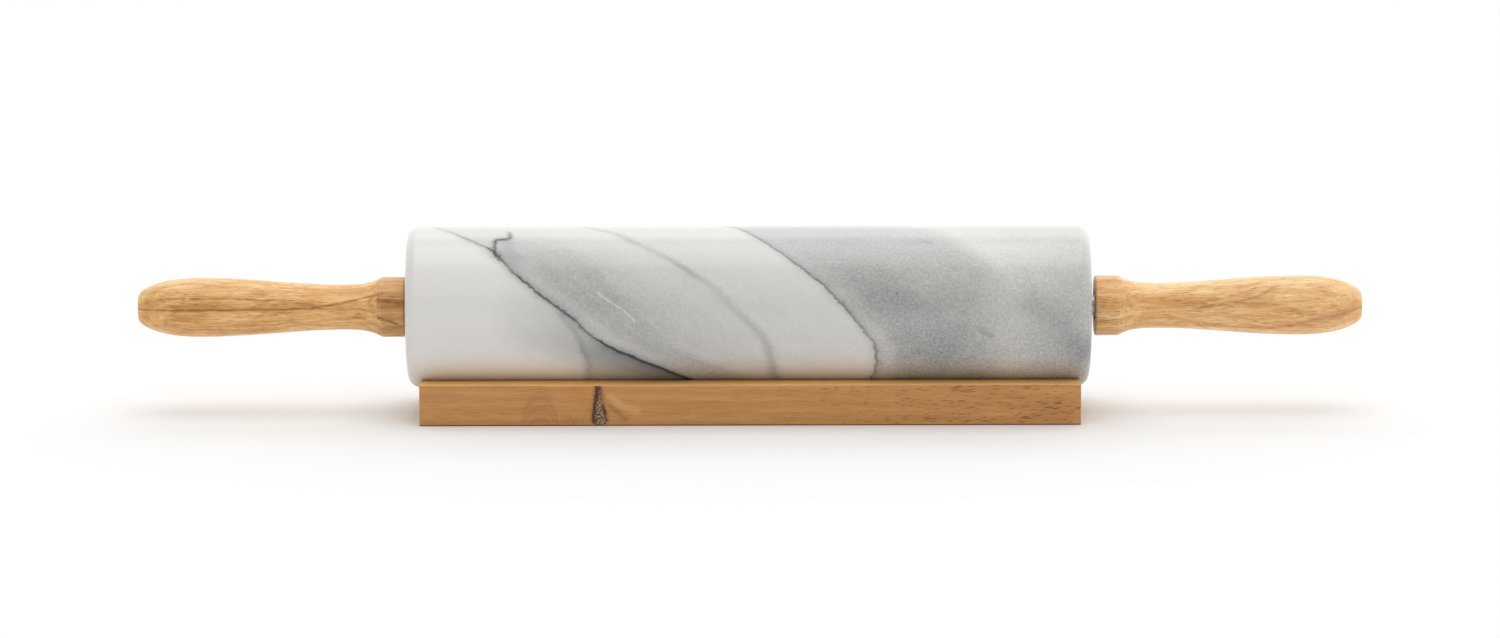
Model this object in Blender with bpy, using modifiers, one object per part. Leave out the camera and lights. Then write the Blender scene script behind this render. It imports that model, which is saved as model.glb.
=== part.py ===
"""Marble rolling pin resting on a one-piece wooden cradle, built as separate pieces.

Units are metres and +Z is up. The origin lies on the floor, midway between the handle tips.
The pin's axis runs along X, AXIS_HEIGHT above the floor; left is -X and right is +X.

The cradle stands still and the pin lifts straight off it. The steel rod and the handles are
one rigid unit. The barrel turns on the rod in two nylon bushings, and between its ends and
the handle collars there is a little end play, with a loose thrust washer at each end.

Turned pieces are drawn as a half section of (radius, height) points and spun by a Screw
modifier. Every section runs down its outer side, so that the faces point out.
"""

import math

import bpy

MM = 0.001

# Overall sizes of the pin
OVERALL_LENGTH = 457.2 * MM
BARREL_LENGTH = 254.0 * MM
BARREL_RADIUS = 30.0 * MM
BARREL_EDGE_RADIUS = 4.2 * MM
HANDLE_LENGTH = 99.8 * MM

# The barrel lies a little to the left of the middle, within its end play
BARREL_SHIFT = -0.6 * MM

# Cradle board, with a groove that follows the barrel
CRADLE_LENGTH = 245.0 * MM
CRADLE_WIDTH = 56.0 * MM
CRADLE_HEIGHT = 15.3 * MM
CRADLE_EDGE_RADIUS = 0.8 * MM
AXIS_HEIGHT = 40.0 * MM

# RESTING_GAP is left where still pieces meet, RUNNING_GAP round the turning rod
RESTING_GAP = 0.3 * MM
RUNNING_GAP = 0.1 * MM

# Steel rod: full size through the barrel, reduced to the thread's size at both ends
ROD_RADIUS = 4.0 * MM
THREAD_RADIUS = 3.0 * MM
THREAD_LENGTH = 20.0 * MM
THREAD_CHAMFER = 0.7 * MM

# Flanged nylon bushing: the sleeve sits in the barrel's bore, the flange in a counterbore
SLEEVE_RADIUS = 6.5 * MM
SLEEVE_LENGTH = 18.0 * MM
SLEEVE_CHAMFER = 0.6 * MM
FLANGE_RADIUS = 9.0 * MM
FLANGE_THICKNESS = 2.2 * MM

# Loose nylon washer between the barrel and a handle's collar
WASHER_RADIUS = 9.6 * MM
WASHER_THICKNESS = 0.6 * MM

# Threaded insert, held in the handle's blind bore by barbs
INSERT_RADIUS = 5.0 * MM
INSERT_LENGTH = 18.0 * MM
INSERT_BARBS = 5
BARB_DEPTH = 0.5 * MM
HANDLE_BORE_DEPTH = 24.0 * MM

# Handle: a collar next to the barrel, then a turned grip that ends in a small flat tip
COLLAR_LENGTH = 8.4 * MM
COLLAR_RADIUS = 11.2 * MM
COLLAR_EDGE_RADIUS = 0.8 * MM
GRIP_STATIONS = (
    # (distance from the tip, radius)
    (0.0 * MM, 4.7 * MM),
    (0.5 * MM, 5.5 * MM),
    (1.5 * MM, 6.45 * MM),
    (3.6 * MM, 7.7 * MM),
    (8.0 * MM, 9.35 * MM),
    (15.0 * MM, 10.65 * MM),
    (24.0 * MM, 11.05 * MM),
    (38.0 * MM, 10.62 * MM),
    (52.0 * MM, 9.65 * MM),
    (66.0 * MM, 8.7 * MM),
    (78.0 * MM, 8.42 * MM),
    (84.0 * MM, 8.8 * MM),
    (88.0 * MM, 9.75 * MM),
    (90.6 * MM, 10.95 * MM),
)

# How finely round shapes are divided
BARREL_SEGMENTS = 96
GROOVE_SEGMENTS = 96
HANDLE_SEGMENTS = 48
FITTING_SEGMENTS = 36
INSERT_SEGMENTS = 24
EDGE_ARC_STEPS = 5
GRIP_STEPS = 3
BOARD_EDGE_STEPS = 3
SMOOTH_ANGLE = math.radians(35)
MERGE_DISTANCE = 0.01 * MM

# Material name: (linear base colour, roughness, metallic)
FINISHES = {
    "white_marble": ((0.66, 0.65, 0.63), 0.35, 0.0),
    "handle_wood": ((0.66, 0.40, 0.18), 0.5, 0.0),
    "cradle_wood": ((0.45, 0.23, 0.09), 0.55, 0.0),
    "plain_steel": ((0.56, 0.57, 0.58), 0.3, 1.0),
    "white_nylon": ((0.78, 0.77, 0.73), 0.45, 0.0),
}


def clear_scene():
    """Remove every object that is in the scene already."""
    for obj in list(bpy.data.objects):
        bpy.data.objects.remove(obj, do_unlink=True)


def new_collection(name):
    """A new collection, linked to the scene."""
    collection = bpy.data.collections.new(name)
    bpy.context.scene.collection.children.link(collection)
    return collection


def get_material(name):
    """The Principled material of that name, made from FINISHES on first use."""
    material = bpy.data.materials.get(name)
    if material is None:
        color, roughness, metallic = FINISHES[name]
        material = bpy.data.materials.new(name)
        material.use_nodes = True
        shader = material.node_tree.nodes["Principled BSDF"]
        shader.inputs["Base Color"].default_value = (*color, 1.0)
        shader.inputs["Roughness"].default_value = roughness
        shader.inputs["Metallic"].default_value = metallic
    return material


def new_pin_frame(collection):
    """Empty in the middle of the pin, with its Z along world X: turned pieces stand on it."""
    frame = bpy.data.objects.new("pin_axis", None)
    frame.location = (0.0, 0.0, AXIS_HEIGHT)
    frame.rotation_euler = (0.0, math.pi / 2, 0.0)
    collection.objects.link(frame)
    return frame


def new_barrel_frame(collection, pin_frame):
    """Empty in the middle of the barrel, on the pin's axis: the barrel turns about its Z."""
    frame = bpy.data.objects.new("barrel_axis", None)
    frame.parent = pin_frame
    frame.location = (0.0, 0.0, BARREL_SHIFT)
    collection.objects.link(frame)
    return frame


def finish_mesh(obj):
    """Give obj its modifiers' result as its own mesh, smooth but for its sharp edges."""
    evaluated = obj.evaluated_get(bpy.context.evaluated_depsgraph_get())
    mesh = bpy.data.meshes.new_from_object(evaluated)
    mesh.name = obj.name
    mesh.shade_smooth()
    mesh.set_sharp_from_angle(angle=SMOOTH_ANGLE)
    obj.modifiers.clear()
    obj.data = mesh


def edge_arc(center_radius, center_height, radius, start_deg, end_deg):
    """Points of a rounded edge in the half section, from start_deg to end_deg."""
    points = []
    for step in range(EDGE_ARC_STEPS + 1):
        angle = math.radians(start_deg + (end_deg - start_deg) * step / EDGE_ARC_STEPS)
        out = center_radius + radius * math.cos(angle)
        up = center_height + radius * math.sin(angle)
        points.append((out, up))
    return points


def smooth_curve(stations, steps):
    """Points on a smooth curve through the stations, steps of them from each to the next."""
    last = len(stations) - 1
    slopes = []
    for index in range(last + 1):
        before = stations[max(index - 1, 0)]
        after = stations[min(index + 1, last)]
        slopes.append((after[1] - before[1]) / (after[0] - before[0]))
    points = [stations[0]]
    for index in range(last):
        x0, y0 = stations[index]
        x1, y1 = stations[index + 1]
        span = x1 - x0
        for step in range(1, steps + 1):
            t = step / steps
            ease = 3 * t**2 - 2 * t**3
            pull = (t**3 - 2 * t**2 + t) * slopes[index] + (t**3 - t**2) * slopes[index + 1]
            points.append((x0 + span * t, y0 + (y1 - y0) * ease + span * pull))
    return points


def new_turned(name, section, segments, material_name, collection, parent, is_ring):
    """Spin a half section about the piece's own Z axis.

    A ring's section is a closed loop clear of the axis. Any other section starts and ends
    on the axis.
    """
    verts = [(radius, 0.0, height) for radius, height in section]
    edges = [(index, index + 1) for index in range(len(verts) - 1)]
    if is_ring:
        edges.append((len(verts) - 1, 0))
    mesh = bpy.data.meshes.new(name)
    mesh.from_pydata(verts, edges, [])
    mesh.materials.append(get_material(material_name))
    piece = bpy.data.objects.new(name, mesh)
    piece.parent = parent
    collection.objects.link(piece)
    spin = piece.modifiers.new("Spin", "SCREW")
    spin.axis = "Z"
    spin.angle = math.tau
    spin.steps = segments
    spin.render_steps = segments
    spin.use_merge_vertices = True
    spin.merge_threshold = MERGE_DISTANCE
    finish_mesh(piece)
    return piece


def place_on_axis(piece, height, faces_left):
    """Set a turned piece on its parent's axis, turned end for end when it faces left."""
    piece.location = (0.0, 0.0, height)
    if faces_left:
        piece.rotation_euler = (math.pi, 0.0, 0.0)


def build_cradle(collection, cutters):
    """Board with eased edges, and a groove along its top one resting gap clear of the barrel."""
    bpy.ops.mesh.primitive_cube_add(size=1.0, location=(0.0, 0.0, CRADLE_HEIGHT / 2))
    cradle = bpy.context.object
    cradle.name = "cradle"
    cradle.data.materials.append(get_material("cradle_wood"))
    cradle.scale = (CRADLE_LENGTH, CRADLE_WIDTH, CRADLE_HEIGHT)
    bpy.ops.object.transform_apply(location=False, rotation=False, scale=True)

    bpy.ops.mesh.primitive_cylinder_add(
        vertices=GROOVE_SEGMENTS,
        radius=BARREL_RADIUS + RESTING_GAP,
        depth=CRADLE_LENGTH * 1.1,
        location=(0.0, 0.0, AXIS_HEIGHT),
        rotation=(0.0, math.pi / 2, 0.0),
    )
    groove = bpy.context.object
    groove.name = "groove_cutter"
    groove.hide_render = True
    groove.display_type = "WIRE"

    for obj, home in ((cradle, collection), (groove, cutters)):
        for old_home in list(obj.users_collection):
            old_home.objects.unlink(obj)
        home.objects.link(obj)

    eased = cradle.modifiers.new("Eased edges", "BEVEL")
    eased.width = CRADLE_EDGE_RADIUS
    eased.segments = BOARD_EDGE_STEPS
    cut = cradle.modifiers.new("Groove", "BOOLEAN")
    cut.operation = "DIFFERENCE"
    cut.solver = "EXACT"
    cut.object = groove
    finish_mesh(cradle)


def build_barrel(collection, barrel_frame):
    """Marble cylinder with rounded edges, a through bore and a counterbore at each end."""
    half = BARREL_LENGTH / 2
    arc_height = half - BARREL_EDGE_RADIUS
    arc_radius = BARREL_RADIUS - BARREL_EDGE_RADIUS
    bore = SLEEVE_RADIUS + RESTING_GAP
    counterbore = FLANGE_RADIUS + RESTING_GAP
    floor = half - FLANGE_THICKNESS - RESTING_GAP
    section = [
        *edge_arc(arc_radius, arc_height, BARREL_EDGE_RADIUS, 90, 0),
        *edge_arc(arc_radius, -arc_height, BARREL_EDGE_RADIUS, 0, -90),
        (counterbore, -half),
        (counterbore, -floor),
        (bore, -floor),
        (bore, floor),
        (counterbore, floor),
        (counterbore, half),
    ]
    new_turned(
        "marble_barrel", section, BARREL_SEGMENTS, "white_marble", collection, barrel_frame, True
    )


def build_bushing(side, faces_left, collection, barrel_frame):
    """Flanged nylon bushing: its flange is level with the barrel's end face."""
    hole = ROD_RADIUS + RUNNING_GAP
    section = [
        (FLANGE_RADIUS, 0.0),
        (FLANGE_RADIUS, -FLANGE_THICKNESS),
        (SLEEVE_RADIUS, -FLANGE_THICKNESS),
        (SLEEVE_RADIUS, SLEEVE_CHAMFER - SLEEVE_LENGTH),
        (SLEEVE_RADIUS - SLEEVE_CHAMFER, -SLEEVE_LENGTH),
        (hole, -SLEEVE_LENGTH),
        (hole, 0.0),
    ]
    bushing = new_turned(
        f"bushing_{side}", section, FITTING_SEGMENTS, "white_nylon", collection, barrel_frame, True
    )
    end = BARREL_LENGTH / 2
    place_on_axis(bushing, -end if faces_left else end, faces_left)


def build_washer(side, faces_left, collection, barrel_frame):
    """Loose nylon washer, one resting gap outside the barrel's end face."""
    hole = ROD_RADIUS + RESTING_GAP
    section = [
        (WASHER_RADIUS, WASHER_THICKNESS),
        (WASHER_RADIUS, 0.0),
        (hole, 0.0),
        (hole, WASHER_THICKNESS),
    ]
    washer = new_turned(
        f"thrust_washer_{side}",
        section,
        FITTING_SEGMENTS,
        "white_nylon",
        collection,
        barrel_frame,
        True,
    )
    seat = BARREL_LENGTH / 2 + RESTING_GAP
    place_on_axis(washer, -seat if faces_left else seat, faces_left)


def build_rod(collection, pin_frame):
    """Steel rod: its shoulders are level with the collars' faces and stop the inserts."""
    shoulder = OVERALL_LENGTH / 2 - HANDLE_LENGTH
    end = shoulder + THREAD_LENGTH
    tip_radius = THREAD_RADIUS - THREAD_CHAMFER
    upper = [
        (0.0, end),
        (tip_radius, end),
        (THREAD_RADIUS, end - THREAD_CHAMFER),
        (THREAD_RADIUS, shoulder),
        (ROD_RADIUS, shoulder),
    ]
    lower = [(radius, -height) for radius, height in reversed(upper)]
    new_turned(
        "axle_rod", upper + lower, FITTING_SEGMENTS, "plain_steel", collection, pin_frame, False
    )


def build_handle(side, faces_left, collection, pin_frame):
    """Turned handle: tip, grip and collar, with a blind bore in the collar's face."""
    grip = smooth_curve(GRIP_STATIONS, GRIP_STEPS)
    bore = INSERT_RADIUS + RESTING_GAP
    arc_radius = COLLAR_RADIUS - COLLAR_EDGE_RADIUS
    section = [
        (0.0, HANDLE_LENGTH),
        *[(radius, HANDLE_LENGTH - from_tip) for from_tip, radius in grip],
        (COLLAR_RADIUS, COLLAR_LENGTH),
        *edge_arc(arc_radius, COLLAR_EDGE_RADIUS, COLLAR_EDGE_RADIUS, 0, -90),
        (bore, 0.0),
        (bore, HANDLE_BORE_DEPTH),
        (0.0, HANDLE_BORE_DEPTH),
    ]
    handle = new_turned(
        f"handle_{side}", section, HANDLE_SEGMENTS, "handle_wood", collection, pin_frame, False
    )
    inner_end = OVERALL_LENGTH / 2 - HANDLE_LENGTH
    place_on_axis(handle, -inner_end if faces_left else inner_end, faces_left)


def build_insert(side, faces_left, collection, pin_frame):
    """Threaded steel insert, one resting gap beyond the rod's shoulder, barbed outside."""
    hole = THREAD_RADIUS + RESTING_GAP
    barb = INSERT_LENGTH / INSERT_BARBS
    section = []
    for index in range(INSERT_BARBS):
        top = INSERT_LENGTH - barb * index
        section.append((INSERT_RADIUS - BARB_DEPTH, top))
        section.append((INSERT_RADIUS, top - barb))
    section.append((hole, 0.0))
    section.append((hole, INSERT_LENGTH))
    insert = new_turned(
        f"handle_insert_{side}",
        section,
        INSERT_SEGMENTS,
        "plain_steel",
        collection,
        pin_frame,
        True,
    )
    seat = OVERALL_LENGTH / 2 - HANDLE_LENGTH + RESTING_GAP
    place_on_axis(insert, -seat if faces_left else seat, faces_left)


def build_rolling_pin():
    """Build every piece, each end's fittings by the same functions."""
    clear_scene()
    collection = new_collection("marble_rolling_pin")
    cutters = new_collection("cutters")
    build_cradle(collection, cutters)

    pin_frame = new_pin_frame(collection)
    barrel_frame = new_barrel_frame(collection, pin_frame)
    build_rod(collection, pin_frame)
    build_barrel(collection, barrel_frame)
    for side, faces_left in (("left", True), ("right", False)):
        build_handle(side, faces_left, collection, pin_frame)
        build_insert(side, faces_left, collection, pin_frame)
        build_bushing(side, faces_left, collection, barrel_frame)
        build_washer(side, faces_left, collection, barrel_frame)


build_rolling_pin()
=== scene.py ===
"""The looks of a marble rolling pin on its wooden cradle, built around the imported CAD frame.

Everything is in metres in the CAD's frame: X runs along the pin's axis, the camera looks along
+Y, and +Z is up. Inside the materials all lengths are in millimetres, measured from the pin's
axis, and an angle about the axis is in degrees: 0 faces the front and 90 is the top.
"""

import math

import bmesh
import bpy
from mathutils import Matrix, Vector


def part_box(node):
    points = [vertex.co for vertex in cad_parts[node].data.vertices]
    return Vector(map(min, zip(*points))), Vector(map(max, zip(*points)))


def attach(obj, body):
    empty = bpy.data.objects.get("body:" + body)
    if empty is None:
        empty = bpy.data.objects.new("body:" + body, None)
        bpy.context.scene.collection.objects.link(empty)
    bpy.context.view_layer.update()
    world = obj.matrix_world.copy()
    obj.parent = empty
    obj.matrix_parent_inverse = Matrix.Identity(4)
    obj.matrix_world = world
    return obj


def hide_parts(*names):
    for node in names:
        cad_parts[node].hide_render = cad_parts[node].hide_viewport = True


MM = 0.001
AXIS_HEIGHT = 40.0 * MM

# Camera, at the photograph's angle
CAMERA_DISTANCE = 2.0
CAMERA_ELEVATION = 10.0
AIM_BELOW_AXIS = 0.138
CAMERA_ROLL = -0.13
CAMERA_LENS = 128.26

# Resolution of the finished meshes
BARREL_SEGMENTS = 192
BARREL_EDGE_STEPS = 12
HANDLE_SEGMENTS = 128
COLLAR_EDGE_STEPS = 8
GRIP_STEPS = 6
GROOVE_STEPS = 64
BOARD_EDGE_STEPS = 5
SHARP_ANGLE = math.radians(35)
TINY = 1e-9


# ---------------------------------------------------------------------------------------
# Material graphs
# ---------------------------------------------------------------------------------------


class Graph:
    """The nodes of a material or world. Most calls add nodes and return their output."""

    def __init__(self, owner):
        owner.use_nodes = True
        self.owner = owner
        self.tree = owner.node_tree
        self.shader = self.tree.nodes.get("Principled BSDF")

    def feed(self, socket, value):
        """Link a socket to another, or set its value."""
        if isinstance(value, bpy.types.NodeSocket):
            self.tree.links.new(value, socket)
        elif socket.type == "RGBA" and len(value) == 3:
            socket.default_value = (*value, 1.0)
        else:
            socket.default_value = value

    def add(self, kind, inputs, **settings):
        """Add a node of that kind, with settings first and then its inputs."""
        node = self.tree.nodes.new(kind)
        for key, value in settings.items():
            setattr(node, key, value)
        for key, value in inputs.items():
            self.feed(node.inputs[key], value)
        return node

    def math(self, operation, *values, clamp=False):
        """A Math node on one to three values."""
        node = self.add(
            "ShaderNodeMath", dict(enumerate(values)), operation=operation, use_clamp=clamp
        )
        return node.outputs[0]

    def plus(self, *values):
        """The sum of the values."""
        total = values[0]
        for value in values[1:]:
            total = self.math("ADD", total, value)
        return total

    def minus(self, first, second):
        """First less second."""
        return self.math("SUBTRACT", first, second)

    def times(self, *values):
        """The product of the values."""
        product = values[0]
        for value in values[1:]:
            product = self.math("MULTIPLY", product, value)
        return product

    def bell(self, distance, width):
        """1 at distance 0, falling off smoothly on both sides over about width."""
        share = self.math("DIVIDE", distance, width)
        return self.math("EXPONENT", self.times(share, share, -1.0))

    def fade(self, value, start, end, low=0.0, high=1.0):
        """From low to high as value goes from start to end, smooth, and level outside."""
        node = self.add(
            "ShaderNodeMapRange",
            {"Value": value, "From Min": start, "From Max": end, "To Min": low, "To Max": high},
            interpolation_type="SMOOTHSTEP",
        )
        return node.outputs["Result"]

    def curve(self, value, points):
        """A smooth curve through the (value, result) points."""
        starts = [point[0] for point in points]
        results = [point[1] for point in points]
        low, span = min(results), max(results) - min(results)
        start, length = starts[0], starts[-1] - starts[0]
        share = self.math("DIVIDE", self.minus(value, start), length)
        node = self.add("ShaderNodeFloatCurve", {"Value": share})
        line = node.mapping.curves[0].points
        line[0].location = (0.0, (results[0] - low) / span)
        line[1].location = (1.0, (results[-1] - low) / span)
        for at, result in points[1:-1]:
            line.new((at - start) / length, (result - low) / span)
        for point in line:
            point.handle_type = "AUTO_CLAMPED"
        node.mapping.update()
        return self.math("MULTIPLY_ADD", node.outputs[0], span, low)

    def combine(self, x, y, z):
        """A vector from three values."""
        node = self.add("ShaderNodeCombineXYZ", {"X": x, "Y": y, "Z": z})
        return node.outputs[0]

    def shift(self, vector, offset):
        """The vector plus a fixed offset or another vector."""
        node = self.add("ShaderNodeVectorMath", {0: vector, 1: offset}, operation="ADD")
        return node.outputs[0]

    def stretch(self, vector, sizes):
        """The vector measured in units of that size along X, Y and Z."""
        scale = tuple(1.0 / size for size in sizes)
        node = self.add("ShaderNodeVectorMath", {0: vector, 1: scale}, operation="MULTIPLY")
        return node.outputs[0]

    def noise(self, vector, sizes, detail=2.0, roughness=0.5, offset=None):
        """Smooth noise from -0.5 to 0.5, with features of those sizes in millimetres."""
        vector = self.stretch(vector, sizes)
        if offset is not None:
            vector = self.shift(vector, offset)
        node = self.add(
            "ShaderNodeTexNoise",
            {"Vector": vector, "Scale": 1.0, "Detail": detail, "Roughness": roughness},
        )
        return self.minus(node.outputs[0], 0.5)

    def cells(self, vector, sizes, offset=(0.0, 0.0, 0.0)):
        """Distance to the nearest of scattered points, in units of the sizes."""
        vector = self.shift(self.stretch(vector, sizes), offset)
        node = self.add("ShaderNodeTexVoronoi", {"Vector": vector, "Scale": 1.0})
        return node.outputs["Distance"]

    def segment(self, point, start, end):
        """Distance from the point to the straight line between two points."""
        along = tuple(b - a for a, b in zip(start, end))
        squared = sum(part * part for part in along)
        offset = self.add("ShaderNodeVectorMath", {0: point, 1: start}, operation="SUBTRACT")
        dot = self.add(
            "ShaderNodeVectorMath", {0: offset.outputs[0], 1: along}, operation="DOT_PRODUCT"
        )
        share = self.math("DIVIDE", dot.outputs["Value"], squared, clamp=True)
        foot = self.add(
            "ShaderNodeVectorMath", {0: along, "Scale": share}, operation="SCALE"
        )
        rest = self.add(
            "ShaderNodeVectorMath",
            {0: offset.outputs[0], 1: foot.outputs[0]},
            operation="SUBTRACT",
        )
        length = self.add("ShaderNodeVectorMath", {0: rest.outputs[0]}, operation="LENGTH")
        return length.outputs["Value"]

    def path(self, point, corners):
        """Distance from the point to a line of straight pieces through the corners."""
        nearest = None
        for start, end in zip(corners, corners[1:]):
            distance = self.segment(point, (*start, 0.0), (*end, 0.0))
            nearest = distance if nearest is None else self.math("MINIMUM", nearest, distance)
        return nearest

    def stroke(self, surface, corners, arc, width):
        """1 along a line through (place, angle) corners, falling off over the width.

        The surface is unrolled, with arc millimetres to a degree about the axis.
        """
        unrolled = [(place, angle * arc) for place, angle in corners]
        return self.bell(self.path(surface, unrolled), width)

    def blend(self, factor, first, second):
        """A colour between first, at factor 0, and second, at factor 1."""
        node = self.tree.nodes.new("ShaderNodeMix")
        node.data_type = "RGBA"
        self.feed(node.inputs[0], factor)
        self.feed(node.inputs[6], first)
        self.feed(node.inputs[7], second)
        return node.outputs[2]

    def tint(self, factor, color, by):
        """The colour multiplied by another, as far as factor says."""
        node = self.tree.nodes.new("ShaderNodeMix")
        node.data_type = "RGBA"
        node.blend_type = "MULTIPLY"
        self.feed(node.inputs[0], factor)
        self.feed(node.inputs[6], color)
        self.feed(node.inputs[7], by)
        return node.outputs[2]

    def place(self):
        """The object's own coordinates in millimetres, with Z from the pin's axis."""
        source = self.tree.nodes.new("ShaderNodeTexCoord")
        scaled = self.add(
            "ShaderNodeVectorMath",
            {0: source.outputs["Object"], "Scale": 1 / MM},
            operation="SCALE",
        )
        return self.shift(scaled.outputs[0], (0.0, 0.0, -AXIS_HEIGHT / MM))

    def split(self, vector):
        """The vector's three values."""
        node = self.add("ShaderNodeSeparateXYZ", {0: vector})
        return node.outputs[0], node.outputs[1], node.outputs[2]

    def angle_about_axis(self, y, z):
        """Angle about the pin's axis in degrees: 0 at the front, 90 at the top."""
        back = self.times(y, -1.0)
        return self.times(self.math("ARCTAN2", z, back), 180 / math.pi)

    def bump(self, height, depth, strength=1.0):
        """A bump whose height of 1 stands depth millimetres proud."""
        node = self.add(
            "ShaderNodeBump",
            {"Height": height, "Distance": depth * MM, "Strength": strength},
        )
        return node.outputs["Normal"]

    def limit(self, value):
        """The value, held between 0 and 1."""
        return self.math("ADD", value, 0.0, clamp=True)

    def finish(self, color, roughness, normal, specular=0.5):
        """Link the three results, set how strongly it reflects, and return the material."""
        self.shader.inputs["Specular IOR Level"].default_value = specular
        self.feed(self.shader.inputs["Base Color"], color)
        self.feed(self.shader.inputs["Roughness"], roughness)
        self.feed(self.shader.inputs["Normal"], normal)
        return self.owner


def new_material(name):
    """The graph of a new material."""
    return Graph(bpy.data.materials.new(name))


# ---------------------------------------------------------------------------------------
# Marble
# ---------------------------------------------------------------------------------------

# Where each vein crosses the barrel: (angle about the axis, place along it)
VEIN_LEFT = (
    (-180, -40), (-150, -14), (-120, -4), (-90, -8), (-60, -20), (-45, -28.8),
    (-37.7, -35.0), (-29, -42.9), (-22.7, -49.4), (-16.5, -54.7), (-9, -59.7), (-1.5, -63.8),
    (8.5, -70.5), (19.7, -78), (32, -85.5), (44.7, -91.7), (53.5, -95.3), (62, -101.9),
    (74, -109.3), (88.5, -116.9), (100, -121), (118, -117), (150, -84), (180, -40),
)
VEIN_MIDDLE = (
    (-180, -8), (-130, 11), (-90, 13), (-44, 8.7), (-31.5, 7.8), (-19, 6.2), (-6.5, 2),
    (6, -4.7), (21, -12.2), (34.7, -22.2), (48.5, -32.2), (61, -42.2), (73.5, -49.7),
    (85, -58), (93, -62), (105, -65), (125, -58), (152, -34), (180, -8),
)
VEIN_RIGHT = (
    (-180, 2), (-150, 12), (-110, 30), (-75, 42), (-44, 46.2), (-31.5, 47.2), (-21.5, 46.2),
    (-10, 42.8), (1, 38.7), (12, 33.7), (23.5, 27.8), (36, 20.3), (47, 13.7), (59, 7),
    (71, 1.2), (84.7, -4.7), (94, -9), (106, -13), (130, -14), (155, -7), (180, 2),
)
# Middle of the pale band that crosses the grey right-hand side
PALE_BAND = (
    (-180, 84), (-120, 92), (-45, 97), (0, 98), (20, 98), (35, 96), (50, 90), (66, 82),
    (81, 75), (110, 64), (150, 72), (180, 84),
)

# How deep and how wide the veins are on the way round: (angle about the axis, value)
LEFT_DEPTH = (
    (-180, 0.35), (-120, 0.5), (-60, 0.76), (-30, 0.93), (-20, 0.96), (-14, 0.84), (-9, 0.64),
    (0, 0.78), (10, 0.8), (30, 0.86), (36, 0.62), (41, 0.68), (46, 0.86), (53, 0.88),
    (57, 0.7), (62, 0.56), (68, 0.52), (76, 0.42), (88, 0.3), (120, 0.3), (180, 0.35),
)
LEFT_WIDTH = (
    (-180, 0.8), (-60, 1.8), (-30, 2.1), (-20, 1.75), (-12, 1.05), (0, 1.15), (10, 1.15),
    (25, 1.0), (42, 1.0), (50, 1.45), (58, 1.0), (70, 0.95), (180, 0.8),
)
MIDDLE_DEPTH = (
    (-180, 0.12), (-90, 0.25), (-40, 0.3), (-25, 0.28), (-15, 0.24), (0, 0.2), (20, 0.15),
    (28, 0.18), (34, 0.3), (45, 0.28), (55, 0.2), (66, 0.24), (80, 0.18), (180, 0.12),
)
MIDDLE_WIDTH = 2.2
RIGHT_DEPTH = (
    (-180, 0.3), (-60, 0.55), (-25, 0.6), (-12, 0.52), (5, 0.66), (30, 0.66), (50, 0.6),
    (62, 0.54), (80, 0.46), (95, 0.3), (140, 0.2), (180, 0.3),
)
RIGHT_WIDTH = 0.85

# Grey beside the left vein: (millimetres to its right, grey), and its share on the way round
LEFT_CLOUD = (
    (-6, 0.0), (-1.5, 0.03), (1, 0.26), (7, 0.3), (17, 0.38), (26, 0.36), (36, 0.25),
    (48, 0.19), (62, 0.15), (85, 0.1), (200, 0.06),
)
LEFT_CLOUD_ROUND = (
    (-180, 0.45), (-120, 0.7), (-60, 1.0), (20, 1.0), (38, 0.98), (50, 0.84), (60, 0.56),
    (70, 0.34), (82, 0.16), (100, 0.14), (140, 0.4), (180, 0.45),
)
# Grey on the left side of that vein: (millimetres to its right, grey)
LEFT_SHADE = (
    (-95, 0.02), (-78, 0.1), (-68, 0.13), (-58, 0.16), (-48, 0.18), (-38, 0.2), (-28, 0.23),
    (-18, 0.26), (-8, 0.3), (2, 0.3),
)
# Grey over the barrel's right side, on the way round
RIGHT_CLOUD_ROUND = (
    (-180, 0.16), (-130, 0.34), (-90, 0.45), (-35, 0.5), (-20, 0.46), (-5, 0.41), (5, 0.39),
    (20, 0.39), (34, 0.37), (45, 0.35), (55, 0.31), (65, 0.26), (85, 0.19), (110, 0.12),
    (145, 0.1), (180, 0.16),
)

# Finer marks: corners as (place along the barrel, angle about the axis)
CLOUD_PATCH = ((104, 12), (115, -6), (124, -25))
CLOUD_EDGE = ((52, 6), (66, -4), (74, -18))
BRANCH = ((-70, 4), (-65, -7), (-62, -18), (-59.5, -36), (-61, -85))
HOOK = (
    (-93.9, 49), (-94.6, 54), (-94.9, 60), (-94.3, 65.4), (-92.6, 66.2), (-90.2, 66.4),
    (-88.7, 68.6), (-88.9, 73), (-90.0, 78),
)
HOOK_SHADE = ((-91.0, 64), (-89.5, 54), (-86.5, 46))
STREAK = ((63, 65), (67, 60))
SPOT = ((86, -8), (89, -12))
CRACK = ((-56.3, 19.7), (-49.5, 10.5), (-42.2, -0.3))

# Hairlines round the back: corners as (place, millimetres round from the back), and depth
HAIRLINES = (
    (((-122, -26), (-96, -12), (-66, -6), (-40, 12), (-12, 24)), 0.3),
    (((-66, -6), (-58, -22), (-42, -34)), 0.22),
    (((24, 30), (52, 12), (84, 6), (122, -14)), 0.26),
    (((52, 12), (60, -10), (78, -26)), 0.18),
)
HAIRLINE_WIDTH = 0.6

MARBLE_WHITE = (0.765, 0.754, 0.735)
MARBLE_DARK = (0.0, 0.014, 0.028)
# Millimetres to a degree round the barrel
BARREL_ARC = math.radians(1.0) * 30.0


def vein(g, offset, core, core_depth, halo, halo_depth):
    """How much a vein darkens the stone at that offset from it."""
    dark = g.times(g.bell(offset, core), core_depth)
    soft = g.times(g.bell(offset, halo), halo_depth)
    return g.math("MAXIMUM", dark, soft)


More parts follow.
